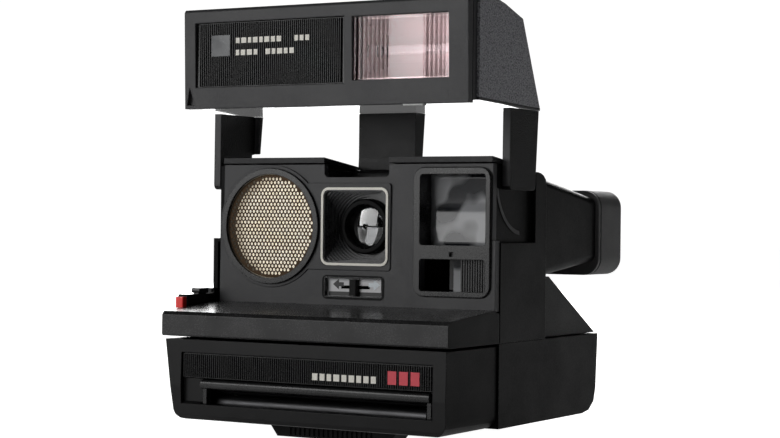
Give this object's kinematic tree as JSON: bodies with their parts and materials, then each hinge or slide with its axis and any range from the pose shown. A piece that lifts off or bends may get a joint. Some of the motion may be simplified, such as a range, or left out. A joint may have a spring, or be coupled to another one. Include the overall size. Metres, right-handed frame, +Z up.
{
  "type": "instant camera",
  "caption": "Instant camera with a wedge body, fold-up flash on two arms, drop-down film door with rollers, rangefinder disc, lens and finder.",
  "frame": {"origin": "middle of the whole camera, flash raised, at the level of the feet", "axes": "+X to the right seen from the front, +Y from the lens side to the back, +Z up"},
  "size_m": [0.1272, 0.1422, 0.1566],
  "materials": {
    "textured_black": "fine grain",
    "satin_grey": "satin",
    "gloss_black": "polished",
    "soft_black": "matt",
    "cup_grey": "matt",
    "cream": "printed line",
    "clear_glass": "polished",
    "clear_plastic": "moulded prisms",
    "mirror": "silvered",
    "foil": "gold foil",
    "dark_metal": "perforated sheet",
    "steel": "brushed",
    "white_plastic": "smooth",
    "red_plastic": "smooth",
    "board": "laminate",
    "reflector": "polished",
    "badge": "satin"
  },
  "bodies": {
    "body": {"front_panel": "satin_grey", "top_cover": "satin_grey", "rear_cover": "textured_black", "mirror_housing": "textured_black", "film_chamber": "textured_black", "front_shelf": "satin_grey", "transducer_ring": "satin_grey", "transducer_foil": "foil", "transducer_grille": "dark_metal", "lens_trim": "cream", "lens_hood": "soft_black", "lens_barrel": "gloss_black", "front_lens": "clear_glass", "shutter_plate": "soft_black", "viewfinder_frame": "satin_grey", "viewfinder_lens": "clear_plastic", "finder_tunnel": "soft_black", "viewfinder_tube": "textured_black", "viewfinder_eye_lens": "clear_glass", "eyecup": "cup_grey", "photocell_window": "clear_plastic", "photocell": "soft_black", "exposure_track": "white_plastic", "button_housing": "gloss_black", "mirror": "mirror", "light_cone": "soft_black", "main_board": "board", "film_pack": "soft_black", "counter_window": "clear_plastic"},
    "flash": {"flash_bezel": "textured_black", "flash_grip_panel": "satin_grey", "flash_badge": "badge", "flash_window": "clear_plastic", "flash_reflector": "reflector", "flash_tube": "clear_glass", "flash_housing": "textured_black", "flash_underside": "gloss_black", "flash_left_arm": "textured_black", "flash_right_arm": "textured_black", "flash_column": "gloss_black", "flash_capacitor": "gloss_black", "flash_board": "board"},
    "film_door": {"door_cover": "textured_black", "door_grip_panel": "satin_grey", "slot_lip": "satin_grey", "roller_carriage": "steel", "door_foot": "soft_black", "drive_motor": "steel"},
    "upper_roller": {"upper_roller": "steel"},
    "lower_roller": {"lower_roller": "steel"},
    "focus_disc": {"focus_disc": "soft_black", "focus_lenses": "clear_glass"},
    "shutter_blade_left": {"shutter_blade_left": "soft_black"},
    "shutter_blade_right": {"shutter_blade_right": "soft_black"},
    "photocell_vane": {"photocell_vane": "soft_black"},
    "exposure_slider": {"exposure_slider": "gloss_black"},
    "shutter_button": {"shutter_button": "red_plastic"},
    "override_button": {"override_button": "gloss_black"},
    "door_latch": {"door_latch": "soft_black"},
    "counter_dial": {"counter_dial": "white_plastic"}
  },
  "joints": [
    {"name": "flash_fold", "type": "hinge", "parent": "body", "child": "flash", "pos_m": [0.0033, -0.01335, 0.0946], "axis": [1, 0, 0], "range_deg": [0, 91.4]},
    {"name": "film_door_open", "type": "hinge", "parent": "body", "child": "film_door", "pos_m": [0.0033, -0.03535, 0.0081], "axis": [1, 0, 0], "range_deg": [0, 75]},
    {"name": "upper_roller_spin", "type": "hinge", "parent": "film_door", "child": "upper_roller", "pos_m": [0.0033, -0.06075, 0.0184], "axis": [1, 0, 0], "continuous": true},
    {"name": "lower_roller_spin", "type": "hinge", "parent": "film_door", "child": "lower_roller", "pos_m": [0.0033, -0.06075, 0.012], "axis": [1, 0, 0], "continuous": true},
    {"name": "focus_turn", "type": "hinge", "parent": "body", "child": "focus_disc", "pos_m": [0.0045, -0.02015, 0.0626], "axis": [0, 1, 0], "range_deg": [0, 270]},
    {"name": "shutter_open", "type": "slide", "parent": "body", "child": "shutter_blade_right", "axis": [1, 0, 0], "range_m": [0, 0.0056]},
    {"name": "shutter_open_left", "type": "slide", "parent": "body", "child": "shutter_blade_left", "axis": [-1, 0, 0], "range_m": [0, 0.0056]},
    {"name": "exposure_set", "type": "slide", "parent": "body", "child": "exposure_slider", "axis": [1, 0, 0], "range_m": [-0.0035, 0.0035]},
    {"name": "vane_shift", "type": "slide", "parent": "body", "child": "photocell_vane", "axis": [1, 0, 0], "range_m": [-0.0009, 0.0009]},
    {"name": "shutter_press", "type": "slide", "parent": "body", "child": "shutter_button", "axis": [0, 1, 0], "range_m": [0, 0.002], "stiffness_N_per_m": 300, "springref_m": -0.001},
    {"name": "override_press", "type": "slide", "parent": "body", "child": "override_button", "axis": [0, 1, 0], "range_m": [0, 0.003], "stiffness_N_per_m": 300, "springref_m": -0.001},
    {"name": "latch_slide", "type": "slide", "parent": "body", "child": "door_latch", "axis": [0, 1, 0], "range_m": [0, 0.005], "stiffness_N_per_m": 300, "springref_m": -0.001},
    {"name": "counter_turn", "type": "hinge", "parent": "body", "child": "counter_dial", "pos_m": [-0.0467, 0.02765, 0.0377], "axis": [0, 0, 1], "range_deg": [0, 330]}
  ],
  "couplings": [
    {"joint": "lower_roller_spin", "follows": "upper_roller_spin", "ratio": -1},
    {"joint": "shutter_open_left", "follows": "shutter_open", "ratio": 1},
    {"joint": "vane_shift", "follows": "exposure_set", "ratio": -0.25}
  ]
}
